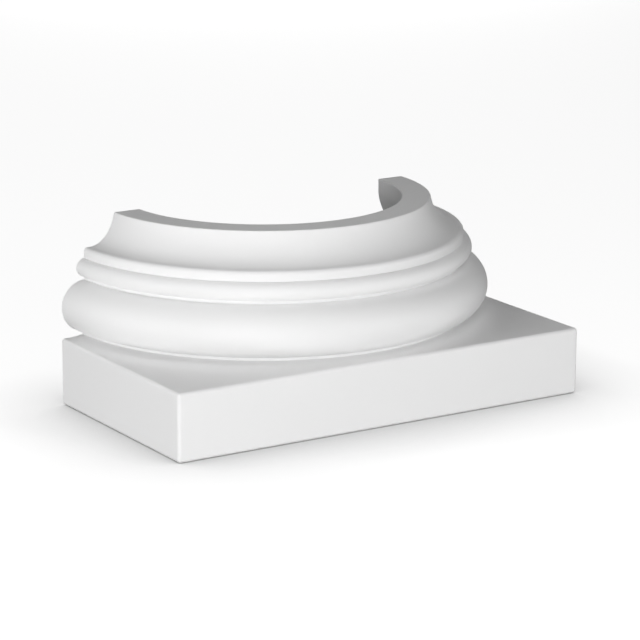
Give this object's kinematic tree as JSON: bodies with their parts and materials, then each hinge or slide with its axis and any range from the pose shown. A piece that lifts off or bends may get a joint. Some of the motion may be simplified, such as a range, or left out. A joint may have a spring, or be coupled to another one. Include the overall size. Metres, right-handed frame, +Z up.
{
  "type": "half column base",
  "caption": "Half column base for a wall: a square plinth carrying turned torus, bead, fillet and cove mouldings, cut flat at the back and hollow behind the rim.",
  "frame": {"origin": "on the underside, in the middle of the plinth's 400 by 200 mm footprint", "axes": "+Z up; +Y into the wall, so the flat back face lies at the footprint's +Y edge and the column's axis stands upright in that face; -Y to the front; +X to the right as seen from the front"},
  "size_m": [0.4, 0.2, 0.1633],
  "materials": {
    "primed_white": "smooth matt white, as a primed and unpainted casting"
  },
  "bodies": {
    "root": {"half_column_base": "primed_white"}
  },
  "joints": []
}
